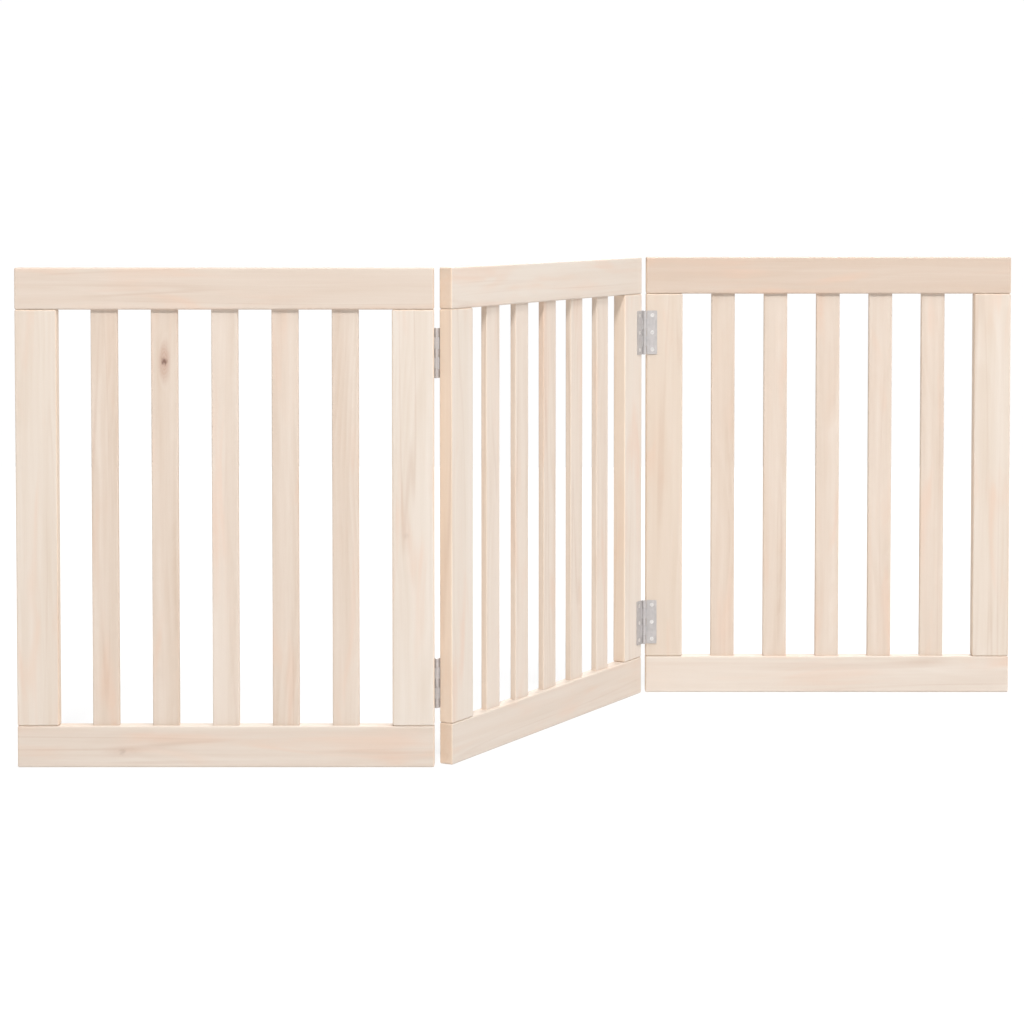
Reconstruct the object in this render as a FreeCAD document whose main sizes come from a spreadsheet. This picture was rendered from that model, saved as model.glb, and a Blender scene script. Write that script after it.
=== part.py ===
"""Folding pet gate: three slatted wooden panels, joined by butt hinges and standing in a zigzag.

Frame: +Z is up and the origin is on the floor under the middle of the middle panel. The outer panels
run along X. The middle panel is turned by fold_angle, from its near end at the left panel to its far
end at the right panel. The gate looks the same when it is turned half a turn about Z, so the right
panel and its hinges are the left ones placed in frames that are turned by 180 degrees.

Each panel's frame has its origin at the panel's bottom centre, x along the panel and y through it.
A hinge's frame has its origin on the pin's axis, halfway up the hinge, and y points out of the wood.
All sizes are in millimetres.
"""

import FreeCAD
import Part

import os

import Sketcher

SIZES = [
    # The zigzag and the panels
    ("fold_angle", 60, "angle between an outer panel and the middle panel's line"),
    ("panel_width", 500, "width of each panel"),
    ("panel_height", 600, "height of each panel"),
    ("board_thickness", 18, "thickness of rails and stiles"),
    ("panel_gap", 4.5, "gap between two panels that stand in line"),
    ("rail_height", 50, "height of the top and bottom rails"),
    ("stile_width", 50, "width of the end posts"),
    ("edge_radius", 2, "rounding of rails and stiles"),
    # Slats
    ("slat_count", 5, "slats in one panel"),
    ("slat_width", 32, "width of a slat"),
    ("slat_thickness", 8.5, "thickness of a slat"),
    ("slat_edge_radius", 1.5, "rounding of a slat's long edges"),
    ("tenon_depth", 10, "depth of a slat's end in a rail"),
    ("mortise_play", 0.1, "gap round a slat in its mortise"),
    # Dowels that join stiles to rails
    ("dowel_diameter", 8, "diameter of a dowel"),
    ("dowel_length", 40, "length of a dowel"),
    ("dowel_spacing", 24, "distance between the dowels of one joint"),
    ("dowel_play", 0.05, "gap round a dowel"),
    ("dowel_end_play", 1, "free depth past a dowel's end"),
    ("dowel_chamfer", 1, "chamfer of a dowel's ends"),
    # Hinges
    ("hinge_height", 60, "height of a hinge"),
    ("hinge_above_rail", 18, "from the bottom rail to the lower hinge"),
    ("hinge_below_rail", 23, "from the upper hinge to the top rail"),
    ("leaf_thickness", 1.2, "sheet thickness of a leaf"),
    ("leaf_overlap", 15, "width of a leaf on the wood"),
    ("leaf_corner_radius", 1, "rounding of a leaf's outer corners"),
    ("end_knuckle", 11, "height of the top and bottom knuckles"),
    ("centre_knuckle", 10, "height of the middle knuckle"),
    ("knuckle_play", 0.3, "gap between two knuckles"),
    ("notch_play", 0.6, "gap between a barrel and the other leaf's notch"),
    ("pin_diameter", 3, "diameter of a hinge pin"),
    ("pin_play", 0.05, "gap round a pin"),
    ("pin_stand_out", 0.4, "height of a pin's end above the barrel"),
    # Screws
    ("screw_edge_distance", 6.5, "from a leaf's outer edge to its screws"),
    ("screw_pitch", 23.5, "distance between two screws of a leaf"),
    ("screw_diameter", 3, "diameter of a screw's shank"),
    ("screw_length", 14, "length of a screw"),
    ("screw_tip", 3, "length of a screw's point"),
    ("screw_play", 0.05, "gap round a screw"),
    ("pilot_end_play", 1, "free depth past a screw's point"),
    ("recess_length", 3, "length of a cross recess"),
    ("recess_width", 0.7, "width of a cross recess's slots"),
    ("recess_depth", 0.8, "depth of a cross recess"),
]

LAYOUT = [
    ("opening_height", "Sizes.panel_height - 2 * Sizes.rail_height"),
    ("slat_gap", "(Sizes.panel_width - 2 * Sizes.stile_width - Sizes.slat_count * Sizes.slat_width)"
                 " / (Sizes.slat_count + 1)"),
    ("slat_pitch", "Sizes.slat_width + Layout.slat_gap"),
    ("slat_span", "(Sizes.slat_count - 1) * Layout.slat_pitch"),
    ("stile_x", "(Sizes.panel_width - Sizes.stile_width) / 2"),
    ("bore_radius", "Sizes.pin_diameter / 2 + Sizes.pin_play"),
    ("barrel_radius", "Layout.bore_radius + Sizes.leaf_thickness"),
    ("leaf_face", "Sizes.leaf_thickness - Layout.barrel_radius"),
    ("leaf_reach", "Sizes.panel_gap / 2 + Sizes.leaf_overlap"),
    ("screw_x", "Layout.leaf_reach - Sizes.screw_edge_distance"),
    ("screw_head_radius", "Sizes.screw_diameter / 2 + Sizes.leaf_thickness"),
    ("wide_knuckle_top", "Sizes.hinge_height / 2 - Sizes.end_knuckle"),
    ("wide_knuckle_bottom", "Sizes.centre_knuckle / 2"),
    ("lower_hinge_z", "Sizes.rail_height + Sizes.hinge_above_rail + Sizes.hinge_height / 2"),
    ("upper_hinge_z", "Sizes.panel_height - Sizes.rail_height - Sizes.hinge_below_rail"
                      " - Sizes.hinge_height / 2"),
    ("axis_x", "(Sizes.panel_width + Sizes.panel_gap) / 2"),
    ("axis_y", "Sizes.board_thickness / 2 + Layout.barrel_radius"),
    ("near_axis_x", "-Layout.axis_x * cos(Sizes.fold_angle) - Layout.axis_y * sin(Sizes.fold_angle)"),
    ("near_axis_y", "-Layout.axis_x * sin(Sizes.fold_angle) + Layout.axis_y * cos(Sizes.fold_angle)"),
]

TURN = "rotation(vector(0; 0; 1); {})"
FRAMES = [
    # name, place of the origin in x and y, turn about Z
    ("left_frame", "Layout.near_axis_x - Layout.axis_x", "Layout.near_axis_y - Layout.axis_y", "0"),
    ("right_frame", "Layout.axis_x - Layout.near_axis_x", "Layout.axis_y - Layout.near_axis_y", "180"),
    ("middle_frame", "0", "0", "Sizes.fold_angle"),
    ("middle_far_frame", "0", "0", "Sizes.fold_angle + 180"),
]

# For each joint, the frames of the outer and the middle panel in which its hinges are on the +y face.
# There the outer panel is joined at its +x end and the middle panel at its -x end.
JOINTS = {
    "left": ("left_frame", "middle_frame"),
    "right": ("right_frame", "middle_far_frame"),
}
HINGE_HEIGHTS = {"lower": "Layout.lower_hinge_z", "upper": "Layout.upper_hinge_z"}

# Heights, from a hinge's middle, between which each leaf is cut back for the other leaf's knuckles
HALF_PLAY = "Sizes.knuckle_play / 2"
NOTCHES = {
    "outer": [
        (f"-Layout.wide_knuckle_bottom - {HALF_PLAY}", f"Layout.wide_knuckle_bottom + {HALF_PLAY}"),
        (f"Layout.wide_knuckle_top - {HALF_PLAY}", "Sizes.hinge_height"),
        ("-Sizes.hinge_height", f"{HALF_PLAY} - Layout.wide_knuckle_top"),
    ],
    "middle": [
        (f"Layout.wide_knuckle_bottom - {HALF_PLAY}", f"Layout.wide_knuckle_top + {HALF_PLAY}"),
        (f"-Layout.wide_knuckle_top - {HALF_PLAY}", f"{HALF_PLAY} - Layout.wide_knuckle_bottom"),
    ],
}

UPRIGHT = "rotation(vector(0; 0; 1); 0)"
UPSIDE_DOWN = "rotation(vector(1; 0; 0); 180)"
HEAD_OUT_OF_FACE = "rotation(vector(1; 0; 0); -90)"
Y_AXIS = FreeCAD.Vector(0, 1, 0)
Z_AXIS = FreeCAD.Vector(0, 0, 1)
TOLERANCE = 1e-6

doc = FreeCAD.newDocument("pet_gate")
nodes = []


# The sheet of sizes, and what follows from it

def make_sheet():
    sheet = doc.addObject("Spreadsheet::Sheet", "Sizes")
    for row, (alias, value, meaning) in enumerate(SIZES, start=1):
        sheet.set(f"A{row}", meaning)
        sheet.set(f"B{row}", str(value))
        sheet.setAlias(f"B{row}", alias)
    doc.recompute()
    return sheet


def make_layout():
    layout = doc.addObject("App::VarSet", "Layout")
    for name, expression in LAYOUT:
        layout.addProperty("App::PropertyFloat", name)
        layout.setExpression(name, expression)
    for name, place_x, place_y, turn in FRAMES:
        layout.addProperty("App::PropertyPlacement", name)
        layout.setExpression(name, f"placement(vector({place_x}; {place_y}; 0); {TURN.format(turn)})")
    doc.recompute()
    return layout


# Helpers for bodies and sketches

def start_body(name, frame, x="0", y="0", z="0", turn=UPRIGHT):
    """A body whose own origin stands at x, y, z in a panel's frame."""
    body = doc.addObject("PartDesign::Body", name)
    body.Label = name
    body.setExpression("Placement", f"Layout.{frame} * placement(vector({x}; {y}; {z}); {turn})")
    nodes.append(body)
    return body


def origin_feature(body, role):
    return next(item for item in body.Origin.OriginFeatures if item.Role == role)


def start_sketch(body, name, plane, offset=None):
    """A sketch on one of the body's own planes, moved by a dictionary of axis to expression."""
    sketch = body.newObject("Sketcher::SketchObject", name)
    sketch.AttachmentSupport = (origin_feature(body, plane), [""])
    sketch.MapMode = "FlatFace"
    for axis, expression in (offset or {}).items():
        sketch.setExpression(f".AttachmentOffset.Base.{axis}", expression)
    return sketch


def pin_point(sketch, geometry, position, x, y):
    """Ties one point of a sketch to two expressions."""
    for kind, expression in (("DistanceX", x), ("DistanceY", y)):
        index = sketch.addConstraint(Sketcher.Constraint(kind, -1, 1, geometry, position, 0.0))
        sketch.setExpression(f"Constraints[{index}]", expression)


def add_polygon(sketch, points):
    """A closed outline through points that are given as pairs of expressions."""
    first = sketch.GeometryCount
    places = [FreeCAD.Vector(number, number % 2, 0) for number in range(len(points))]
    for number, place in enumerate(places):
        sketch.addGeometry(Part.LineSegment(place, places[number - len(places) + 1]), False)
    for number, (x, y) in enumerate(points):
        before = first + (number - 1) % len(points)
        sketch.addConstraint(Sketcher.Constraint("Coincident", before, 2, first + number, 1))
        pin_point(sketch, first + number, 1, x, y)


def add_rectangle(sketch, left, right, bottom, top):
    add_polygon(sketch, [(left, bottom), (right, bottom), (right, top), (left, top)])


def add_circle(sketch, x, y, diameter):
    circle = sketch.addGeometry(Part.Circle(FreeCAD.Vector(0, 0, 0), Z_AXIS, 1), False)
    pin_point(sketch, circle, 3, x, y)
    index = sketch.addConstraint(Sketcher.Constraint("Diameter", circle, 1.0))
    sketch.setExpression(f"Constraints[{index}]", diameter)


def extrude(body, kind, name, sketch, length, symmetric=False, reverse=False):
    """A Pad or a Pocket of a sketch."""
    feature = body.newObject(f"PartDesign::{kind}", name)
    feature.Profile = sketch
    feature.Midplane = symmetric
    feature.Reversed = reverse
    feature.setExpression("Length", length)
    doc.recompute()
    return feature


def revolve(body, kind, name, sketch):
    """A Revolution or a Groove about the sketch's vertical axis."""
    feature = body.newObject(f"PartDesign::{kind}", name)
    feature.Profile = sketch
    feature.ReferenceAxis = (sketch, ["V_Axis"])
    feature.Angle = 360
    doc.recompute()
    return feature


def edge_names(feature, wanted):
    """The names of the edges that pass a test."""
    return [f"Edge{number}" for number, edge in enumerate(feature.Shape.Edges, start=1) if wanted(edge)]


def runs_along(axis):
    return lambda edge: abs(abs(edge.tangentAt(edge.FirstParameter).dot(axis)) - 1) < TOLERANCE


def finish_edges(body, kind, name, base, edges, size_property, size):
    """A Fillet or a Chamfer on named edges."""
    feature = body.newObject(f"PartDesign::{kind}", name)
    feature.Base = (base, edges)
    feature.setExpression(size_property, size)
    doc.recompute()
    return feature


def repeat(body, name, features, axis, length, count):
    """The features copied in a row along one of the body's axes."""
    pattern = body.newObject("PartDesign::LinearPattern", name)
    pattern.Originals = features
    pattern.Direction = (origin_feature(body, axis), [""])
    pattern.setExpression("Length", length)
    pattern.Occurrences = count
    body.Tip = pattern
    doc.recompute()
    return pattern


# Wooden pieces

def start_board(name, frame, x, z, turn, width, height):
    """A board of the frame's thickness, standing on its lower edge, with every edge rounded."""
    body = start_body(name, frame, x=x, z=z, turn=turn)
    outline = start_sketch(body, f"{name}_outline", "XY_Plane")
    add_rectangle(outline, f"-{width} / 2", f"{width} / 2",
                  "-Sizes.board_thickness / 2", "Sizes.board_thickness / 2")
    board = extrude(body, "Pad", f"{name}_board", outline, height)
    finish_edges(body, "Fillet", f"{name}_edges", board, edge_names(board, lambda edge: True),
                 "Radius", "Sizes.edge_radius")
    return body


def cut_dowel_holes(body, name, joint_centres, height, upwards):
    """Blind holes for pairs of dowels, from a height of the board upwards or downwards."""
    sketch = start_sketch(body, f"{name}_outline", "XY_Plane", {"z": height})
    for centre in joint_centres:
        for side in ("-", "+"):
            add_circle(sketch, f"{centre} {side} Sizes.dowel_spacing / 2", "0",
                       "Sizes.dowel_diameter + 2 * Sizes.dowel_play")
    extrude(body, "Pocket", name, sketch, "Sizes.dowel_length / 2 + Sizes.dowel_end_play",
            reverse=upwards)


def make_rail(name, frame, z, turn):
    """A rail that stands on its outer edge, with mortises and dowel holes in its inner edge."""
    body = start_board(name, frame, "0", z, turn, "Sizes.panel_width", "Sizes.rail_height")
    mortise = start_sketch(body, f"{name}_mortise_outline", "XY_Plane", {"z": "Sizes.rail_height"})
    add_rectangle(mortise,
                  "-(Layout.slat_span + Sizes.slat_width) / 2 - Sizes.mortise_play",
                  "-(Layout.slat_span - Sizes.slat_width) / 2 + Sizes.mortise_play",
                  "-Sizes.slat_thickness / 2 - Sizes.mortise_play",
                  "Sizes.slat_thickness / 2 + Sizes.mortise_play")
    pocket = extrude(body, "Pocket", f"{name}_mortise", mortise, "Sizes.tenon_depth")
    repeat(body, f"{name}_mortises", [pocket], "X_Axis", "Layout.slat_span", slat_count)
    cut_dowel_holes(body, f"{name}_dowel_holes", ["-Layout.stile_x", "Layout.stile_x"],
                    "Sizes.rail_height", upwards=False)


def make_stile(name, frame, end, hinged):
    """A post at the panel's -x end (-1) or +x end (1). A hinged one has pilot holes in its +y face."""
    body = start_board(name, frame, f"{end} * Layout.stile_x", "Sizes.rail_height", UPRIGHT,
                       "Sizes.stile_width", "Layout.opening_height")
    cut_dowel_holes(body, f"{name}_lower_dowel_holes", ["0"], "0", upwards=True)
    cut_dowel_holes(body, f"{name}_upper_dowel_holes", ["0"], "Layout.opening_height", upwards=False)
    if hinged:
        cut_pilot_holes(body, name, end)


def cut_pilot_holes(body, name, end):
    sketch = start_sketch(body, f"{name}_pilot_outline", "XZ_Plane", {"z": "-Sizes.board_thickness / 2"})
    screw_x = f"{end} * (Layout.axis_x - Layout.screw_x - Layout.stile_x)"
    for height in HINGE_HEIGHTS.values():
        for step in (-1, 0, 1):
            add_circle(sketch, screw_x, f"{height} - Sizes.rail_height + {step} * Sizes.screw_pitch",
                       "Sizes.screw_diameter + 2 * Sizes.screw_play")
    extrude(body, "Pocket", f"{name}_pilot_holes", sketch,
            "Sizes.screw_length - Sizes.leaf_thickness + Sizes.pilot_end_play", reverse=True)


def make_slat(name, frame, number):
    """A slat with both its ends in the rails' mortises, counted from the panel's -x end."""
    body = start_body(name, frame, x=f"{number} * Layout.slat_pitch - Layout.slat_span / 2",
                      z="Sizes.rail_height - Sizes.tenon_depth")
    outline = start_sketch(body, f"{name}_outline", "XY_Plane")
    add_rectangle(outline, "-Sizes.slat_width / 2", "Sizes.slat_width / 2",
                  "-Sizes.slat_thickness / 2", "Sizes.slat_thickness / 2")
    board = extrude(body, "Pad", f"{name}_board", outline,
                    "Layout.opening_height + 2 * Sizes.tenon_depth")
    finish_edges(body, "Fillet", f"{name}_edges", board, edge_names(board, runs_along(Z_AXIS)),
                 "Radius", "Sizes.slat_edge_radius")


def make_dowels(name, frame):
    """The dowels of one panel: a pair for each end of each stile."""
    body = start_body(name, frame, z="Sizes.rail_height")
    body.AllowCompound = True
    sketch = start_sketch(body, f"{name}_outline", "XY_Plane")
    for stile in ("-", ""):
        for side in ("-", "+"):
            add_circle(sketch, f"{stile}Layout.stile_x {side} Sizes.dowel_spacing / 2", "0",
                       "Sizes.dowel_diameter")
    rods = extrude(body, "Pad", f"{name}_rods", sketch, "Sizes.dowel_length", symmetric=True)
    rims = edge_names(rods, lambda edge: isinstance(edge.Curve, Part.Circle))
    ends = finish_edges(body, "Chamfer", f"{name}_ends", rods, rims, "Size", "Sizes.dowel_chamfer")
    repeat(body, f"{name}_rows", [rods, ends], "Z_Axis", "Layout.opening_height", 2)


def make_panel(name, frame, stiles):
    """One panel: two rails, two stiles, the slats between them and the hidden dowels."""
    make_rail(f"{name}_bottom_rail", frame, "0", UPRIGHT)
    make_rail(f"{name}_top_rail", frame, "Sizes.panel_height", UPSIDE_DOWN)
    for stile, stile_frame, end, hinged in stiles:
        make_stile(f"{name}_{stile}_stile", stile_frame, end, hinged)
    for number in range(slat_count):
        make_slat(f"{name}_slat_{number + 1}", frame, number)
    make_dowels(f"{name}_dowels", frame)


# Hinges

def make_leaf(name, frame, height, panel, side):
    """A leaf on the outer or the middle panel. side is the sign of the x that it reaches to."""
    body = start_body(name, frame, f"{-side} * Layout.axis_x", "Layout.axis_y", height)
    outline = start_sketch(body, f"{name}_plate_outline", "XY_Plane")
    add_rectangle(outline, "0", f"{side} * Layout.leaf_reach", "-Layout.barrel_radius", "Layout.leaf_face")
    plate = extrude(body, "Pad", f"{name}_plate", outline, "Sizes.hinge_height", symmetric=True)
    outer_corners = edge_names(plate, lambda edge: runs_along(Y_AXIS)(edge)
                               and abs(edge.CenterOfMass.x) > layout.barrel_radius)
    finish_edges(body, "Fillet", f"{name}_corners", plate, outer_corners,
                 "Radius", "Sizes.leaf_corner_radius")
    for kind, radius in (("Pad", "barrel_radius"), ("Pocket", "bore_radius")):
        circle = start_sketch(body, f"{name}_{radius}_outline", "XY_Plane")
        add_circle(circle, "0", "0", f"2 * Layout.{radius}")
        extrude(body, kind, f"{name}_{radius}", circle, "Sizes.hinge_height", symmetric=True)
    cut_notches(body, name, panel, side)
    cut_screw_holes(body, name, side)


def cut_notches(body, name, panel, side):
    """Clears the places where the other leaf's knuckles turn."""
    sketch = start_sketch(body, f"{name}_notch_outline", "XZ_Plane")
    for bottom, top in NOTCHES[panel]:
        add_rectangle(sketch, f"{-side} * 2 * Layout.barrel_radius",
                      f"{side} * (Layout.barrel_radius + Sizes.notch_play)", bottom, top)
    extrude(body, "Pocket", f"{name}_notches", sketch, "4 * Layout.barrel_radius", symmetric=True)


def cut_screw_holes(body, name, side):
    """Three countersunk holes, wide at the leaf's outer face."""
    sketch = start_sketch(body, f"{name}_countersink_outline", "XY_Plane",
                          {"x": f"{side} * Layout.screw_x", "z": "-Sizes.screw_pitch"})
    add_polygon(sketch, [
        ("0", "-Layout.barrel_radius"),
        ("Sizes.screw_diameter / 2 + Sizes.screw_play", "-Layout.barrel_radius"),
        ("Layout.screw_head_radius + Sizes.screw_play", "Layout.leaf_face"),
        ("0", "Layout.leaf_face"),
    ])
    hole = revolve(body, "Groove", f"{name}_countersink", sketch)
    repeat(body, f"{name}_screw_holes", [hole], "Z_Axis", "2 * Sizes.screw_pitch", 3)


def make_pin(name, frame, height):
    body = start_body(name, frame, "-Layout.axis_x", "Layout.axis_y", height)
    outline = start_sketch(body, f"{name}_outline", "XY_Plane")
    add_circle(outline, "0", "0", "Sizes.pin_diameter")
    rod = extrude(body, "Pad", f"{name}_rod", outline,
                  "Sizes.hinge_height + 2 * Sizes.pin_stand_out", symmetric=True)
    rims = edge_names(rod, lambda edge: isinstance(edge.Curve, Part.Circle))
    finish_edges(body, "Chamfer", f"{name}_ends", rod, rims, "Size", "Sizes.pin_stand_out")


def make_screws(name, frame, height, side):
    """The screws of one leaf: flat heads with cross recesses, flush with the leaf's outer face."""
    body = start_body(name, frame, f"{-side} * (Layout.axis_x - Layout.screw_x)",
                      "Layout.axis_y + Layout.leaf_face", f"{height} + Sizes.screw_pitch",
                      HEAD_OUT_OF_FACE)
    body.AllowCompound = True
    profile = start_sketch(body, f"{name}_profile", "XZ_Plane")
    add_polygon(profile, [
        ("0", "0"),
        ("Layout.screw_head_radius", "0"),
        ("Sizes.screw_diameter / 2", "-Sizes.leaf_thickness"),
        ("Sizes.screw_diameter / 2", "Sizes.screw_tip - Sizes.screw_length"),
        ("0", "-Sizes.screw_length"),
    ])
    features = [revolve(body, "Revolution", f"{name}_shape", profile)]
    for slot, half_x, half_y in (("slot_x", "Sizes.recess_length / 2", "Sizes.recess_width / 2"),
                                 ("slot_y", "Sizes.recess_width / 2", "Sizes.recess_length / 2")):
        outline = start_sketch(body, f"{name}_{slot}_outline", "XY_Plane")
        add_rectangle(outline, f"-{half_x}", half_x, f"-{half_y}", half_y)
        features.append(extrude(body, "Pocket", f"{name}_{slot}", outline, "Sizes.recess_depth"))
    repeat(body, f"{name}_row", features, "Y_Axis", "2 * Sizes.screw_pitch", 3)


def make_hinge(name, outer_frame, middle_frame, height):
    for panel, frame, side in (("outer", outer_frame, -1), ("middle", middle_frame, 1)):
        make_leaf(f"{name}_{panel}_leaf", frame, height, panel, side)
        make_screws(f"{name}_{panel}_screws", frame, height, side)
    make_pin(f"{name}_pin", middle_frame, height)


# Checks and files

def check_document():
    """Stops the build if any object failed or any piece has no valid shape."""
    doc.recompute()
    for item in doc.Objects:
        if "Invalid" in item.State or "Error" in item.State:
            raise RuntimeError(f"{item.Label} did not recompute: {item.State}")
    for node in nodes:
        if node.Shape.isNull() or not node.Shape.isValid() or not node.Shape.Solids:
            raise RuntimeError(f"{node.Label} has no valid shape")


def write_files():
    os.makedirs("parts", exist_ok=True)
    for node in nodes:
        node.Shape.exportStep(f"parts/{node.Label}.step")


sheet = make_sheet()
layout = make_layout()
slat_count = int(sheet.get("slat_count"))

for side_name, (outer_frame, middle_frame) in JOINTS.items():
    make_panel(side_name, outer_frame,
               [("end", outer_frame, -1, False), ("hinge", outer_frame, 1, True)])
make_panel("middle", "middle_frame",
           [("near", "middle_frame", -1, True), ("far", "middle_far_frame", -1, True)])
for side_name, (outer_frame, middle_frame) in JOINTS.items():
    for level, hinge_z in HINGE_HEIGHTS.items():
        make_hinge(f"{side_name}_{level}_hinge", outer_frame, middle_frame, hinge_z)

check_document()
write_files()
print(len(nodes), "pieces, hinge axis at",
      round(layout.near_axis_x, 3), round(layout.near_axis_y, 3),
      "lower and upper hinge at", layout.lower_hinge_z, layout.upper_hinge_z)
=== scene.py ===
# %% [markdown]
# # A three-panel pet gate
#
# The gate is three frames of planed, unfinished pine, joined by four small steel butt hinges,
# so that it stands by itself in a zigzag across a doorway. Each frame has two rails, two stiles
# and five thin slats. The measured model of every part is loaded first and gives every place and
# size. What is built here is the look of each part: its edges, its grain and its metal.

# %% Load the measured frame
import math

import bmesh
import bpy
import numpy as np
from mathutils import Euler, Matrix, Vector
from mathutils.geometry import delaunay_2d_cdt


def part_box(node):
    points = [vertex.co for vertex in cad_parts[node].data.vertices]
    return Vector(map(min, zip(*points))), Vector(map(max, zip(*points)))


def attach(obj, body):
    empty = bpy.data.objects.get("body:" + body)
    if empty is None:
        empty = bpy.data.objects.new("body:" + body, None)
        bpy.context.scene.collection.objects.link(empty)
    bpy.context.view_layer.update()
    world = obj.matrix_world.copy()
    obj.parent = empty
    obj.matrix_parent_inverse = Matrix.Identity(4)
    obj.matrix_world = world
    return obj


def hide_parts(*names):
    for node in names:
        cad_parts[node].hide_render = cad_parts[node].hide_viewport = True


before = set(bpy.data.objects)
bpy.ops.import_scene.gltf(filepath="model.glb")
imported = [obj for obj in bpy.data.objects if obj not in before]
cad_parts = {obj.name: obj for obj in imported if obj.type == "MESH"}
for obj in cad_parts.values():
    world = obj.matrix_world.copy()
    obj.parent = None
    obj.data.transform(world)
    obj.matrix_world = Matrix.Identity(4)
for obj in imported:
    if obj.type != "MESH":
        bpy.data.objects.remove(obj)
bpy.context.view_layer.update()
MM = 0.001

# %% [markdown]
# A few small helpers carry the whole script. A colour is given as an sRGB hex value, and
# Blender's shaders want linear light, so one function turns the one into the other. Another adds
# a node to a tree, sets what it is told and links what it is given.

# %% Helpers for colours and nodes


def linear(hex_colour):
    """An sRGB hex colour as linear red, green, blue and alpha."""
    values = [int(hex_colour[i:i + 2], 16) / 255 for i in (1, 3, 5)]
    return [v / 12.92 if v <= 0.04045 else ((v + 0.055) / 1.055) ** 2.4 for v in values] + [1.0]


def give(node, inputs):
    """Gives a node its inputs. A value that is a socket is linked, and any other value is set."""
    for name, value in inputs.items():
        if isinstance(value, bpy.types.NodeSocket):
            node.id_data.links.new(value, node.inputs[name])
        else:
            node.inputs[name].default_value = value


def add(tree, kind, inputs=None, **settings):
    """Adds one node with its settings, and gives it its inputs."""
    made = tree.nodes.new(kind)
    for name, value in settings.items():
        setattr(made, name, value)
    give(made, inputs or {})
    return made


def new_material(name):
    """A new material, its tree and its shader."""
    material = bpy.data.materials.new(name)
    material.use_nodes = True
    return material, material.node_tree, material.node_tree.nodes["Principled BSDF"]


print("pale pine in linear light:", [round(value, 3) for value in linear("#EFDFD0")])

# %% [markdown]
# Each panel is drawn in its own frame: x runs along the panel, y through its thickness, z up from
# the floor, with the middle of the panel at zero. A matrix then stands it in its place. The outer
# panels' places come straight from their rails. The middle panel is turned, so its angle comes
# from the line between the two hinge axes, less the small angle at which that line crosses it.

# %% Where each panel stands
low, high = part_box("left_bottom_rail")
PANEL_WIDTH, THICKNESS, RAIL_HEIGHT = high.x - low.x, high.y - low.y, high.z - low.z
PANEL_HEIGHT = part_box("left_top_rail")[1].z
left_middle = (low + high) / 2
right_low, right_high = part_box("right_bottom_rail")
right_middle = (right_low + right_high) / 2

pin_low, pin_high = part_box("left_lower_hinge_pin")
near_axis = (pin_low + pin_high) / 2
pin_low, pin_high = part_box("right_lower_hinge_pin")
far_axis = (pin_low + pin_high) / 2
AXIS_X, AXIS_Y = near_axis.x - left_middle.x, near_axis.y - left_middle.y
turn = (math.atan2(far_axis.y - near_axis.y, far_axis.x - near_axis.x)
        + math.atan2(AXIS_Y, AXIS_X))
middle_place = (near_axis + far_axis) / 2


def stand(place, angle):
    return Matrix.Translation((place.x, place.y, 0)) @ Matrix.Rotation(angle, 4, "Z")


PANELS = {
    "left": stand(left_middle, 0),
    "middle": stand(middle_place, turn),
    "right": stand(right_middle, math.pi),
}
print("middle panel turned by", round(math.degrees(turn), 3), "degrees")

stile_low, stile_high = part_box("left_end_stile")
STILE_WIDTH = stile_high.x - stile_low.x
slat_boxes = [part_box(f"left_slat_{number}") for number in range(1, 6)]
SLAT_WIDTH = slat_boxes[0][1].x - slat_boxes[0][0].x
SLAT_THICKNESS = slat_boxes[0][1].y - slat_boxes[0][0].y
SLAT_LENGTH = slat_boxes[0][1].z - slat_boxes[0][0].z
SLAT_PITCH = (slat_boxes[4][0].x - slat_boxes[0][0].x) / 4
print("rail", PANEL_WIDTH, RAIL_HEIGHT, THICKNESS, "slat", SLAT_WIDTH, SLAT_THICKNESS, SLAT_LENGTH)

# %% [markdown]
# The camera stands about three metres away at the height of a person's hip, looks down by a
# little over two degrees and uses a long lens, so that the panels' uprights stay upright.
# A small vertical shift of the lens frames the gate without tilting it.

# %% Camera
camera = bpy.data.objects.new("camera", bpy.data.cameras.new("camera"))
camera.data.sensor_width = 36
camera.data.lens = 88.22
camera.data.shift_y = -0.22
camera.location = (-0.0453, -3.2196, 0.6962)
camera.rotation_euler = Euler((math.radians(90 - 2.278), 0, 0))
camera.data.clip_end = 100
bpy.context.scene.collection.objects.link(camera)
bpy.context.scene.camera = camera
bpy.context.scene.view_settings.view_transform = "Standard"
print("camera at", [round(value, 3) for value in camera.location])

# %% [markdown]
# The gate stands in a white studio. One large soft lamp hangs above the camera, and gives each
# slat a small shadow under the rail. A wider one to the right fills in, so that panels at
# different angles are lit alike, one overhead lays a highlight on each rounded upper edge, and
# one behind lights the back of the gate. They are wide and far away, because a small lamp throws
# hard shadows and a near one lights the panels unevenly. The surround is white at the horizon,
# where it is seen, and dimmer above. The floor is a pale sheet lit a little from beneath, as on a
# product table, which keeps the shadow on it faint.

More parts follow.
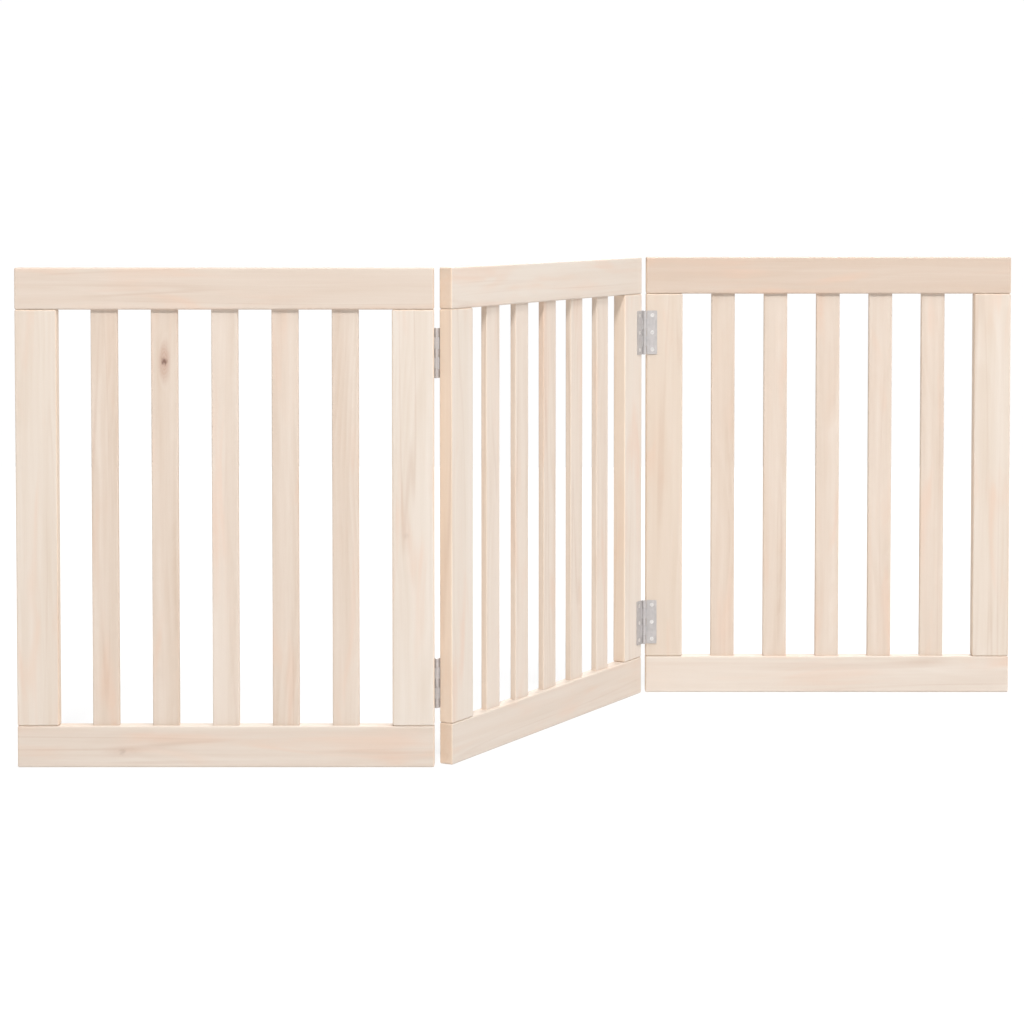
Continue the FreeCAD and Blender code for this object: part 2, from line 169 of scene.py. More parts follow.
# %% Surround and floor
HORIZON_GLOW, UPPER_GLOW, FLOOR_GLOW, FLOOR_HALF = 1.01, 0.1, 0.6, 3.0
world = bpy.data.worlds.new("white_studio")
bpy.context.scene.world = world
world.use_nodes = True
sky = world.node_tree
sky.nodes.clear()
direction = add(sky, "ShaderNodeTexCoord").outputs["Generated"]
upward = add(sky, "ShaderNodeSeparateXYZ", {"Vector": direction}).outputs["Z"]
glow = add(sky, "ShaderNodeMapRange", {"Value": upward, "From Min": 0.11, "From Max": 0.24,
           "To Min": HORIZON_GLOW, "To Max": UPPER_GLOW},
           interpolation_type="SMOOTHSTEP").outputs[0]
surround = add(sky, "ShaderNodeBackground", {"Color": linear("#FFFFFF"), "Strength": glow})
add(sky, "ShaderNodeOutputWorld", {"Surface": surround.outputs[0]})

floor_mesh = bpy.data.meshes.new("floor")
floor_mesh.from_pydata([(x * FLOOR_HALF, y * FLOOR_HALF, 0)
                        for x, y in ((-1, -1), (1, -1), (1, 1), (-1, 1))], [], [(0, 1, 2, 3)])
floor = bpy.data.objects.new("floor", floor_mesh)
bpy.context.scene.collection.objects.link(floor)
floor_sheet, _, shader = new_material("back_lit_white_acrylic_floor")
give(shader, {"Base Color": linear("#989898"), "Roughness": 0.9, "Specular IOR Level": 0.1,
              "Emission Color": linear("#FFFFFF"), "Emission Strength": FLOOR_GLOW})
floor_mesh.materials.append(floor_sheet)
print("floor", 2 * FLOOR_HALF, "metres wide, surround", HORIZON_GLOW, "at the horizon")

# %% Lamps
# Each lamp's name, degrees right of the front, degrees up, width in metres, and the light that it
# throws on a face turned to it.
LAMPS = [
    ("front_softbox", -4, 48, 1.5, 0.71),
    ("right_fill_softbox", 60, 40, 4.0, 0.53),
    ("overhead_softbox", 0, 84, 4.0, 0.32),
    ("back_softbox", 172, 45, 4.0, 0.75),
]
LAMP_DISTANCE, LAMP_TARGET = 9.0, Vector((0, 0, 0.3))
for name, side_angle, up_angle, width, light in LAMPS:
    lamp = bpy.data.objects.new(name, bpy.data.lights.new(name, "AREA"))
    lamp.data.shape = "SQUARE"
    lamp.data.size = width
    lamp.data.energy = light * math.pi ** 2 * LAMP_DISTANCE ** 2
    side_angle, up_angle = math.radians(side_angle), math.radians(up_angle)
    toward = Vector((math.sin(side_angle) * math.cos(up_angle),
                     -math.cos(side_angle) * math.cos(up_angle), math.sin(up_angle)))
    lamp.location = toward * LAMP_DISTANCE + LAMP_TARGET
    lamp.rotation_euler = (-toward).to_track_quat("-Z", "Y").to_euler()
    bpy.context.scene.collection.objects.link(lamp)
print("lamps:", [row[0] for row in LAMPS])

# %% [markdown]
# Pine is a softwood with wide growth rings. The boards are planed flat and left bare, so the
# surface is matt and very pale, cream with a little pink. Where a board is cut at a tangent to
# the rings, they show as soft arches and broad streaks along its length. Knots are few.
#
# An image of wood would repeat. Here the wood is a solid pattern that the board is cut from.
# Each vertex holds its place in its board: along the grain, across the face and through it. The
# distance of that place from the heart of the tree, outside the board, gives the rings and the
# arcs on the end grain. The board's number shifts the pattern, so that no two boards match.

# %% Pine: a place in the tree


def wander(tree, place, squeeze, reach):
    """A shift about zero, up to half the reach each way, that wanders from place to place."""
    squeezed = add(tree, "ShaderNodeVectorMath", {0: place, 1: squeeze},
                   operation="MULTIPLY").outputs[0]
    shift = add(tree, "ShaderNodeTexNoise",
                {"Vector": squeezed, "Scale": 1.0, "Detail": 2.0}).outputs["Color"]
    for operation, value in (("SUBTRACT", (0.5, 0.5, 0.5)), ("MULTIPLY", reach)):
        shift = add(tree, "ShaderNodeVectorMath", {0: shift, 1: value},
                    operation=operation).outputs[0]
    return shift


def place_in_tree(tree):
    """A place in its board, the same place in the tree, and how far that is from the heart."""
    place = add(tree, "ShaderNodeAttribute", attribute_name="grain").outputs["Vector"]
    number = add(tree, "ShaderNodeAttribute", attribute_name="board").outputs["Fac"]
    chance = add(tree, "ShaderNodeTexWhiteNoise", {"W": number},
                 noise_dimensions="1D").outputs["Color"]
    shift = add(tree, "ShaderNodeVectorMath", {0: chance, 1: (7.0, 3.0, 2.0)},
                operation="MULTIPLY").outputs[0]
    cut = add(tree, "ShaderNodeVectorMath", {0: place, 1: shift}, operation="ADD").outputs[0]

    # The trunk is never straight: its heart wanders by several millimetres every 300 mm.
    sway = wander(tree, cut, (2.0, 8, 8), (0, 0.06, 0.04))

    # The heart lies up to 22 mm to either side of the board's middle, and 20 to 60 mm below it.
    heart = add(tree, "ShaderNodeMapRange", {"Vector": chance, 7: (0, 0, 0), 8: (1, 1, 1),
                9: (0, -0.022, 0.02), 10: (0, 0.022, 0.06)},
                data_type="FLOAT_VECTOR").outputs["Vector"]
    from_heart = add(tree, "ShaderNodeVectorMath", {0: place, 1: (0.012, 1, 1)},
                     operation="MULTIPLY").outputs[0]
    for part in (sway, heart):
        from_heart = add(tree, "ShaderNodeVectorMath", {0: from_heart, 1: part},
                         operation="ADD").outputs[0]
    distance = add(tree, "ShaderNodeVectorMath", {0: from_heart},
                   operation="LENGTH").outputs["Value"]
    return place, cut, distance


print("each vertex holds its grain, board, end, narrow, tone and knot")

# %% [markdown]
# A knot is a branch cut across. Its outline is never a clean ellipse, so noise moves its edge by
# a millimetre or so. It runs out along the grain, which is why distances that way count for less
# than distances across. Round it, the rings are pushed aside.

# %% Pine: knots and rings
KNOT_RING_SPACING, RING_SPACING = 1.3 * MM, 5 * MM


def near_knot(tree, place):
    """From the board's knot to a place, the length of that, and the knot's strength."""
    knot = add(tree, "ShaderNodeAttribute", attribute_name="knot").outputs["Vector"]
    strength = add(tree, "ShaderNodeSeparateXYZ", {"Vector": knot}).outputs["Z"]
    rough = wander(tree, place, (120, 420, 420), (0.0022, 0.0028, 0))
    to_knot = place
    for operation, value in (("SUBTRACT", knot), ("MULTIPLY", (0.28, 1, 0)), ("ADD", rough)):
        to_knot = add(tree, "ShaderNodeVectorMath", {0: to_knot, 1: value},
                      operation=operation).outputs[0]
    reach = add(tree, "ShaderNodeVectorMath", {0: to_knot}, operation="LENGTH").outputs["Value"]
    return to_knot, reach, strength


def growth_rings(tree, patch, distance, depth):
    """How tan the rings make a place, and how clearly they show there."""
    # Each ring is pale for most of its width and then tan, with a crisp outer edge.
    rings = add(tree, "ShaderNodeMath", {0: distance, 1: RING_SPACING},
                operation="DIVIDE").outputs[0]
    ring = add(tree, "ShaderNodeMath", {0: rings}, operation="FRACT").outputs[0]
    latewood = add(tree, "ShaderNodeValToRGB", {"Fac": ring})
    ramp = latewood.color_ramp
    for element, position, shade in zip(ramp.elements, (0.25, 0.8), (0, 1)):
        element.position, element.color = position, (shade, shade, shade, 1)
    ramp.elements.new(1.0).color = (0, 0, 0, 1)
    ramp.interpolation = "B_SPLINE"

    # Rings show strongly in some stretches of a board and hardly at all in others.
    shows = add(tree, "ShaderNodeMapRange", {"Value": patch, "From Min": 0.35, "From Max": 0.7,
                "To Min": 0.15, "To Max": 1.0}, interpolation_type="SMOOTHSTEP").outputs[0]
    tone = latewood.outputs[0]
    for share in (shows, depth):
        tone = add(tree, "ShaderNodeMath", {0: tone, 1: share}, operation="MULTIPLY").outputs[0]
    return tone, shows


print("rings every", RING_SPACING / MM, "mm, a knot's own every", KNOT_RING_SPACING / MM, "mm")

# %% [markdown]
# Six noises are drawn out along the grain. Three of them are streaks that the eye sees between
# the rings: broad ones, 14 mm across and 380 mm long, bundles of fibres 1 mm across and 60 mm
# long, and single fibres 0.3 mm across. Real fibres are a tenth as wide, so these are drawn
# coarser to show. Each noise is squeezed by one over its length and one over its widths.

# %% Pine: noises along the grain
NOISES = {
    "patch": ((5, 32, 32), {"Detail": 1.0}),
    "streak": ((2.6, 72, 72), {"Detail": 3.0, "Roughness": 0.6}),
    "fibre": ((16, 950, 950), {"Detail": 2.0}),
    "hair": ((45, 3200, 3200), {"Detail": 2.0}),
    "resin": ((6.5, 38, 38), {"Detail": 2.0, "Distortion": 0.6}),
    "line": ((1.3, 40, 40), {"Detail": 1.0}),
}


def noises_along_grain(tree, cut):
    made = {}
    for name, (squeeze, inputs) in NOISES.items():
        squeezed = add(tree, "ShaderNodeVectorMath", {0: cut, 1: squeeze},
                       operation="MULTIPLY").outputs[0]
        made[name] = add(tree, "ShaderNodeTexNoise",
                         {"Vector": squeezed, "Scale": 1.0, **inputs}).outputs[0]
    return made


def resin_and_lines(tree, resin, line, shows):
    """The shares of peach patches of resin, and of thin dark lines where a noise is near 0.56."""
    resin = add(tree, "ShaderNodeMapRange", {"Value": resin, "From Min": 0.5, "From Max": 0.78,
                "To Min": 0, "To Max": 0.42}, interpolation_type="SMOOTHSTEP").outputs[0]
    line = add(tree, "ShaderNodeMath", {0: line, 1: 0.56}, operation="SUBTRACT").outputs[0]
    line = add(tree, "ShaderNodeMath", {0: line}, operation="ABSOLUTE").outputs[0]
    line = add(tree, "ShaderNodeMapRange", {"Value": line, "From Min": 0.0, "From Max": 0.03,
               "To Min": 0.24, "To Max": 0}, interpolation_type="SMOOTHSTEP").outputs[0]
    line = add(tree, "ShaderNodeMath", {0: line, 1: shows}, operation="MULTIPLY").outputs[0]
    return resin, line


def knot_colours(tree, to_knot, reach, strength):
    """The shares of a knot's pinkish halo, with its own rings, and of its brown core."""
    own_rings = add(tree, "ShaderNodeMath", {0: reach, 1: 2 * math.pi / KNOT_RING_SPACING},
                    operation="MULTIPLY").outputs[0]
    own_rings = add(tree, "ShaderNodeMath", {0: own_rings}, operation="SINE").outputs[0]
    own_rings = add(tree, "ShaderNodeMapRange", {"Value": own_rings, "From Min": -1,
                    "From Max": 1, "To Min": 0.72, "To Max": 1.0}).outputs[0]
    halo = add(tree, "ShaderNodeMapRange", {"Value": reach, "From Min": 0.002,
               "From Max": 0.0095, "To Min": 0.7, "To Max": 0},
               interpolation_type="SMOOTHSTEP").outputs[0]
    core_place = add(tree, "ShaderNodeVectorMath", {0: to_knot, 1: (3.2, 1, 0)},
                     operation="MULTIPLY").outputs[0]
    core_reach = add(tree, "ShaderNodeVectorMath", {0: core_place},
                     operation="LENGTH").outputs["Value"]
    core = add(tree, "ShaderNodeMapRange", {"Value": core_reach, "From Min": 0.0009,
               "From Max": 0.005, "To Min": 0.85, "To Max": 0},
               interpolation_type="SMOOTHSTEP").outputs[0]
    for share in (strength, own_rings):
        halo = add(tree, "ShaderNodeMath", {0: halo, 1: share}, operation="MULTIPLY").outputs[0]
    core = add(tree, "ShaderNodeMath", {0: core, 1: strength}, operation="MULTIPLY").outputs[0]
    return halo, core


print("noises along the grain:", list(NOISES))

# %% [markdown]
# The rings, the streaks and the board's own tone add up to one number that runs from pale to
# tan. Patches of other colours go over it, each by its share: resin, the warmer ends and narrow
# edges that cut across the rings, dark lines, and the knot with its brown core 6 mm across. On
# the narrow side faces of stiles and slats the warmer colour is partly the edge grain's own tone
# and partly painted shade of faces turned from the light. Planed wood is matt, a little shinier
# on the hard tan rings, and its fibres can be felt. Rails, stiles and slats were picked from
# different stock, so each has its own pair of colours.

# %% Planed pine


def planed_pine(name, pale, tan, streaks, ring_depth, side_warmth_and_shade):
    """Bare planed pine: two colours, and how much streaks, rings and side faces (partly painted
    shade) show.
    """
    material, tree, shader = new_material(name)
    end, narrow, own_tone = (add(tree, "ShaderNodeAttribute", attribute_name=kept).outputs["Fac"]
                             for kept in ("end", "narrow", "tone"))
    place, cut, distance = place_in_tree(tree)
    to_knot, reach, strength = near_knot(tree, place)
    push = add(tree, "ShaderNodeMapRange", {"Value": reach, "From Min": 0, "From Max": 0.014,
               "To Min": 0.01, "To Max": 0}, interpolation_type="SMOOTHSTEP").outputs[0]
    push = add(tree, "ShaderNodeMath", {0: push, 1: strength}, operation="MULTIPLY").outputs[0]
    distance = add(tree, "ShaderNodeMath", {0: distance, 1: push}, operation="ADD").outputs[0]
    noise = noises_along_grain(tree, cut)
    ring_tone, shows = growth_rings(tree, noise["patch"], distance, ring_depth)

    streak, fibre, hair = (
        add(tree, "ShaderNodeMapRange", {"Value": noise[name], "From Min": 0.3,
            "From Max": most, "To Min": least_tone, "To Max": most_tone}).outputs[0]
        for name, most, least_tone, most_tone in (
            ("streak", 0.75, 0, streaks), ("fibre", 0.7, -0.045, 0.045),
            ("hair", 0.7, -0.05, 0.06)))
    end_tone = add(tree, "ShaderNodeMath", {0: end, 1: 0.25}, operation="MULTIPLY").outputs[0]
    tone = streak
    for part in (ring_tone, own_tone, fibre, hair, end_tone):
        tone = add(tree, "ShaderNodeMath", {0: tone, 1: part}, operation="ADD",
                   use_clamp=part is end_tone).outputs[0]
    colour = add(tree, "ShaderNodeMix", {0: tone, 6: linear(pale), 7: linear(tan)},
                 data_type="RGBA").outputs[2]

    resin, line = resin_and_lines(tree, noise["resin"], noise["line"], shows)
    # The narrow side faces get a warmer colour: partly their edge grain's own tone, partly painted
    # shade of faces turned from the light. The ends are warm as end grain is.
    end_grain_and_side_shade = add(tree, "ShaderNodeMath", {0: narrow, 1: side_warmth_and_shade},
                 operation="MULTIPLY").outputs[0]
    end_warmth = add(tree, "ShaderNodeMath", {0: end, 1: 0.3}, operation="MULTIPLY").outputs[0]
    end_grain_and_side_shade = add(tree, "ShaderNodeMath", {0: end_grain_and_side_shade, 1: end_warmth},
                 operation="MAXIMUM").outputs[0]
    halo, core = knot_colours(tree, to_knot, reach, strength)
    for share, over in ((resin, "#D2AE97"), (end_grain_and_side_shade, "#E9C8A6"), (line, "#AA8870"),
                        (halo, "#A98674"), (core, "#6A4A3E")):
        colour = add(tree, "ShaderNodeMix", {0: share, 6: colour, 7: linear(over)},
                     data_type="RGBA").outputs[2]

    shine = add(tree, "ShaderNodeMapRange",
                {"Value": tone, "To Min": 0.62, "To Max": 0.5}).outputs[0]
    relief = noise["fibre"]
    for part in (noise["hair"], ring_tone):
        relief = add(tree, "ShaderNodeMath", {0: relief, 1: part}, operation="ADD").outputs[0]
    bump = add(tree, "ShaderNodeBump",
               {"Strength": 0.35, "Distance": 0.00025, "Height": relief}).outputs[0]
    give(shader, {"Base Color": colour, "Roughness": shine, "Normal": bump, "IOR": 1.45})
    return material


# The last number is how warm the narrow side faces are, partly painted shade. The rails' top faces
# are lit, so theirs is none.
RAIL_PINE = planed_pine("planed_pine_rails", "#D0C5BA", "#C1AE9E", 0.5, 0.24, 0.0)
STILE_PINE = planed_pine("planed_pine_stiles", "#D4CAC0", "#C5B4A3", 0.45, 0.28, 0.32)
SLAT_PINE = planed_pine("planed_pine_slats", "#D1C4B8", "#BDA895", 0.55, 0.4, 0.15)
print("wood finishes:", [material.name for material in (RAIL_PINE, STILE_PINE, SLAT_PINE)])

# %% [markdown]
# The hinges are stamped from sheet steel and zinc plated, which leaves a dull grey coat with
# faint clouds a few millimetres wide and fine scratches from the press and from handling. The
# screws are the same plating over a harder, brighter steel. The pins are drawn wire, so their
# marks run along their length. A metal's colour is that of its reflection. The pins are all
# metal, and the duller the zinc's coat is, the more it scatters light as paint does.

# %% Zinc-plated steel


def plated_steel(name, dark, bright, roughness, metal, marks):
    """Steel with clouds 6 mm across, more or less metallic, and marks squeezed as given."""
    material, tree, shader = new_material(name)
    place = add(tree, "ShaderNodeTexCoord").outputs["Object"]
    cloud = add(tree, "ShaderNodeTexNoise",
                {"Vector": place, "Scale": 170.0, "Detail": 3.0}).outputs[0]
    marks_place = add(tree, "ShaderNodeVectorMath", {0: place, 1: marks},
                      operation="MULTIPLY").outputs[0]
    mark = add(tree, "ShaderNodeTexNoise",
               {"Vector": marks_place, "Scale": 1.0, "Detail": 2.0}).outputs[0]
    mixed = add(tree, "ShaderNodeMath", {0: cloud, 1: mark}, operation="ADD").outputs[0]
    tone = add(tree, "ShaderNodeMapRange",
               {"Value": mixed, "From Min": 0.7, "From Max": 1.3}).outputs[0]
    colour = add(tree, "ShaderNodeMix", {0: tone, 6: linear(dark), 7: linear(bright)},
                 data_type="RGBA").outputs[2]
    shine = add(tree, "ShaderNodeMapRange", {"Value": mixed, "From Min": 0.7, "From Max": 1.3,
                "To Min": roughness + 0.08, "To Max": roughness - 0.06}).outputs[0]
    bump = add(tree, "ShaderNodeBump",
               {"Strength": 0.2, "Distance": 0.00008, "Height": mark}).outputs[0]
    give(shader, {"Base Color": colour, "Roughness": shine, "Normal": bump, "Metallic": metal})
    return material


LEAF_STEEL = plated_steel("zinc_plated_hinge_steel", "#B5B1B0", "#C2BEBD", 0.62, 0.62,
                          (900, 900, 60))
SCREW_STEEL = plated_steel("bright_zinc_screw_steel", "#DDDAD8", "#EBE8E6", 0.45, 0.9,
                           (1200, 1200, 1200))
PIN_STEEL = plated_steel("drawn_steel_pin_wire", "#CDC9C6", "#DAD6D3", 0.45, 1.0,
                         (1500, 1500, 40))
print("metal finishes:", [material.name for material in (LEAF_STEEL, SCREW_STEEL, PIN_STEEL)])

# %% [markdown]
# Every finished piece goes through the same last step: its modifiers are worked out into a plain
# mesh, its normals are weighted by face size so that wide flat faces stay flat beside their
# rounded edges, and its vertices are moved to their place, so the object itself stays at the
# origin. It then rides on its panel and stands for the measured parts that it was made after.

# %% Finish a piece


def plain_mesh(thing, name):
    """The evaluated object as a new mesh."""
    seen = thing.evaluated_get(bpy.context.evaluated_depsgraph_get())
    mesh = bpy.data.meshes.new_from_object(seen, preserve_all_data_layers=True,
                                           depsgraph=bpy.context.evaluated_depsgraph_get())
    mesh.name = name
    return mesh


def closed_mesh(work, name):
    """A finished work mesh as a plain one, with its faces turned outward."""
    bmesh.ops.recalc_face_normals(work, faces=work.faces[:])
    open_edges = sum(1 for edge in work.edges if len(edge.link_faces) != 2)
    mesh = bpy.data.meshes.new(name)
    work.to_mesh(mesh)
    work.free()
    print(name, "mesh:", len(mesh.polygons), "faces,", open_edges, "open edges")
    return mesh


def finish_piece(name, mesh, material, body, nodes):
    """Smooths a mesh in its place, gives it its finish and body, and hides the measured parts it
    stands for.
    """
    thing = bpy.data.objects.new(name, mesh)
    bpy.context.scene.collection.objects.link(thing)
    mesh.shade_smooth()
    weigh = thing.modifiers.new("even_normals", "WEIGHTED_NORMAL")
    weigh.keep_sharp = True
    thing.data = plain_mesh(thing, name)
    thing.modifiers.clear()
    thing.data.materials.clear()
    thing.data.materials.append(material)
    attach(thing, body)
    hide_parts(*nodes)


# %% [markdown]
# Rails and stiles are sawn boards whose edges were eased by a small round-over cutter. Each is a
# box with its edges bevelled in four steps. Before it is placed, each vertex keeps its own place
# in the board for the grain, and the ends are marked, because end grain drinks in light and looks
# darker and more peach.
#
# Boards are numbered, 0 to 29 for the rails and stiles of the three panels and 100 to 129 for
# their slats. A knot has its place along the grain and across it, and its strength. A tone says
# how much browner or paler a board is than the rest.

# %% One board
EDGE_RADIUS, NARROW_EDGE = 2 * MM, 0.7 * MM
NO_KNOT = (50.0, 50.0, 0.0)
KNOTS = {2: (-0.124, -0.006, 0.25), 5: (-0.021, -0.0084, 0.13), 101: (0.188, 0.0, 1.0)}
TONES = {2: 0.1, 3: 0.3, 4: 0.25, 5: 0.1, 13: -0.2, 14: 0.05, 15: -0.1, 22: -0.05, 23: 0.65,
         24: 0.2, 25: 0.4, 100: 0.1, 101: 0.15, 102: -0.1, 103: 0.05, 104: 0.05, 110: -0.3,
         111: -0.3, 112: -0.15, 113: -0.25, 114: -0.3, 120: 0.05, 124: 0.1}


def keep(mesh, name, values, kind="FLOAT"):
    """Keeps a number, or a vector, for each vertex."""
    kept = mesh.attributes.new(name, kind, "POINT").data
    kept.foreach_set("value" if kind == "FLOAT" else "vector",
                     np.asarray(values, np.float32).ravel())


def keep_grain(mesh, width):
    """Marks the narrow edges of boards, and keeps the knot and tone that go by their numbers."""
    grain = np.zeros(len(mesh.vertices) * 3, np.float32)
    mesh.attributes["grain"].data.foreach_get("vector", grain)
    numbers = np.zeros(len(mesh.vertices), np.float32)
    mesh.attributes["board"].data.foreach_get("value", numbers)
    numbers = [round(number) for number in numbers.tolist()]
    # Narrow faces are marked for their warm colour, which is partly painted shade.
    keep(mesh, "narrow", np.abs(grain.reshape(-1, 3)[:, 1]) > width / 2 - NARROW_EDGE)
    keep(mesh, "knot", [KNOTS.get(number, NO_KNOT) for number in numbers], "FLOAT_VECTOR")
    keep(mesh, "tone", [TONES.get(number, 0.0) for number in numbers])


def board(number, length, width, thickness, matrix):
    """One board with rounded edges. Its own x runs along the grain, y across and z through it."""
    work = bmesh.new()
    bmesh.ops.create_cube(work, size=1, matrix=Matrix.Diagonal((length, width, thickness, 1)))
    bmesh.ops.bevel(work, geom=work.edges[:], offset=EDGE_RADIUS, segments=4, profile=0.5,
                    affect="EDGES", clamp_overlap=True)
    mesh = closed_mesh(work, f"board_{number}")
    places = np.zeros(len(mesh.vertices) * 3, np.float32)
    mesh.vertices.foreach_get("co", places)
    keep(mesh, "grain", places, "FLOAT_VECTOR")
    keep(mesh, "end", np.abs(places.reshape(-1, 3)[:, 0]) > length / 2 - 0.45 * EDGE_RADIUS)
    keep(mesh, "board", np.full(len(mesh.vertices), number))
    keep_grain(mesh, width)
    mesh.transform(matrix)
    return mesh


print("boards with knots:", sorted(KNOTS), "edges eased by", EDGE_RADIUS / MM, "mm")

# %% Boards of the frames
RAIL_LIES = Matrix(((1, 0, 0, 0), (0, 0, -1, 0), (0, 1, 0, 0), (0, 0, 0, 1)))
UPRIGHT_STANDS = Matrix(((0, 1, 0, 0), (0, 0, 1, 0), (1, 0, 0, 0), (0, 0, 0, 1)))
RAIL_HEIGHTS = {"bottom": RAIL_HEIGHT / 2, "top": PANEL_HEIGHT - RAIL_HEIGHT / 2}
STILE_NAMES = {"left": ("end", "hinge"), "middle": ("near", "far"), "right": ("end", "hinge")}
stile_x = (PANEL_WIDTH - STILE_WIDTH) / 2
stile_length = PANEL_HEIGHT - 2 * RAIL_HEIGHT

for index, (panel, place) in enumerate(PANELS.items()):
    body = f"{panel}_panel"
    for row, (name, height) in enumerate(RAIL_HEIGHTS.items()):
        lies = place @ Matrix.Translation((0, 0, height)) @ RAIL_LIES
        mesh = board(10 * index + 2 + row, PANEL_WIDTH, RAIL_HEIGHT, THICKNESS, lies)
        finish_piece(f"{panel}_{name}_rail_board", mesh, RAIL_PINE, body,
                     [f"{panel}_{name}_rail"])
    for row, name in enumerate(STILE_NAMES[panel]):
        middle = Matrix.Translation(((2 * row - 1) * stile_x, 0, PANEL_HEIGHT / 2))
        mesh = board(10 * index + 4 + row, stile_length, STILE_WIDTH, THICKNESS,
                     place @ middle @ UPRIGHT_STANDS)
        finish_piece(f"{panel}_{name}_stile_board", mesh, STILE_PINE, body,
                     [f"{panel}_{name}_stile"])
print("boards made: 6 rails, 6 stiles")

# %% [markdown]
# The slats repeat, and so do the screws, so Geometry Nodes make both. A tree is grown on an empty
# mesh, with its sizes as inputs, so one tree serves all three panels or all four hinges. Its
# copies stand in a row with its middle at zero, and are turned into real mesh at the end.

# %% Trees that make rows of copies


def new_tree(name, inputs):
    """An empty tree with named inputs, what it is given, and what it hands out."""
    tree = bpy.data.node_groups.new(name, "GeometryNodeTree")
    tree.interface.new_socket("Geometry", in_out="OUTPUT", socket_type="NodeSocketGeometry")
    for socket_name, kind in inputs:
        tree.interface.new_socket(socket_name, in_out="INPUT", socket_type=f"NodeSocket{kind}")
    return tree, add(tree, "NodeGroupInput").outputs, tree.nodes.new("NodeGroupOutput")


def row_start(tree, given):
    """Where a row begins whose middle is at zero: half of all its steps back."""
    start = add(tree, "ShaderNodeMath", {0: given["Count"], 1: 1},
                operation="SUBTRACT").outputs[0]
    for times in (given["Pitch"], -0.5):
        start = add(tree, "ShaderNodeMath", {0: start, 1: times},
                    operation="MULTIPLY").outputs[0]
    return start


def make_real(tree, copies, given, result):
    """Turns a tree's copies into real mesh, gives that its finish, and hands it out."""
    real = add(tree, "GeometryNodeRealizeInstances", {"Geometry": copies}).outputs[0]
    real = add(tree, "GeometryNodeSetMaterial",
               {"Geometry": real, "Material": given["Finish"]}).outputs[0]
    tree.links.new(real, result.inputs[0])
    print(tree.name, "tree:", len(tree.nodes), "nodes")


def grow(name, tree, values):
    """Runs a tree on an empty mesh, with its inputs set first, and returns the plain mesh."""
    thing = bpy.data.objects.new(name, bpy.data.meshes.new(name))
    modifier = thing.modifiers.new(name, "NODES")
    modifier.node_group = tree
    for item in tree.interface.items_tree:
        if item.in_out == "INPUT" and item.name in values:
            modifier[item.identifier] = values[item.name]
    bpy.context.scene.collection.objects.link(thing)
    mesh = plain_mesh(thing, name)
    thing.modifiers.clear()
    bpy.data.objects.remove(thing)
    return mesh


# %% [markdown]
# A line as long as a slat is swept with a small rectangle whose corners are rounded, which is how
# a moulding machine shapes a slat. The tree stores each vertex's place in the slat for the grain,
# copies the slat along a row, and stores each copy's number.

# %% Geometry Nodes tree for a row of slats
slat_tree, given, result = new_tree("row_of_slats", [
    ("Count", "Int"), ("Pitch", "Float"), ("Length", "Float"), ("Width", "Float"),
    ("Thickness", "Float"), ("Edge radius", "Float"), ("Height", "Float"),
    ("First number", "Int"), ("Finish", "Material")])
ends = []
for share in (-0.5, 0.5):
    end = add(slat_tree, "ShaderNodeMath", {0: given["Length"], 1: share},
              operation="MULTIPLY").outputs[0]
    ends.append(add(slat_tree, "ShaderNodeCombineXYZ", {"X": end}).outputs[0])
line = add(slat_tree, "GeometryNodeCurvePrimitiveLine",
           {"Start": ends[0], "End": ends[1]}).outputs[0]
line = add(slat_tree, "GeometryNodeResampleCurve", {"Curve": line, "Count": 14}).outputs[0]
section = add(slat_tree, "GeometryNodeCurvePrimitiveQuadrilateral",
              {"Width": given["Width"], "Height": given["Thickness"]}).outputs[0]
section = add(slat_tree, "GeometryNodeFilletCurve",
              {"Curve": section, "Radius": given["Edge radius"], "Count": 3},
              mode="POLY").outputs[0]
slat = add(slat_tree, "GeometryNodeCurveToMesh",
           {"Curve": line, "Profile Curve": section, "Fill Caps": True}).outputs[0]
own_place = add(slat_tree, "GeometryNodeInputPosition").outputs[0]
slat = add(slat_tree, "GeometryNodeStoreNamedAttribute",
           {"Geometry": slat, "Name": "grain", "Value": own_place},
           data_type="FLOAT_VECTOR", domain="POINT").outputs[0]

start = add(slat_tree, "ShaderNodeCombineXYZ",
            {"X": row_start(slat_tree, given), "Z": given["Height"]}).outputs[0]
step = add(slat_tree, "ShaderNodeCombineXYZ", {"X": given["Pitch"]}).outputs[0]
row = add(slat_tree, "GeometryNodeMeshLine",
          {"Count": given["Count"], "Start Location": start, "Offset": step}).outputs[0]
copies = add(slat_tree, "GeometryNodeInstanceOnPoints", {"Points": row, "Instance": slat,
             "Rotation": Euler((0, -math.pi / 2, -math.pi / 2))}).outputs[0]
index = add(slat_tree, "GeometryNodeInputIndex").outputs[0]
copy_number = add(slat_tree, "ShaderNodeMath", {0: index, 1: given["First number"]},
                  operation="ADD").outputs[0]
copies = add(slat_tree, "GeometryNodeStoreNamedAttribute",
             {"Geometry": copies, "Name": "board", "Value": copy_number},
             data_type="FLOAT", domain="INSTANCE").outputs[0]
make_real(slat_tree, copies, given, result)

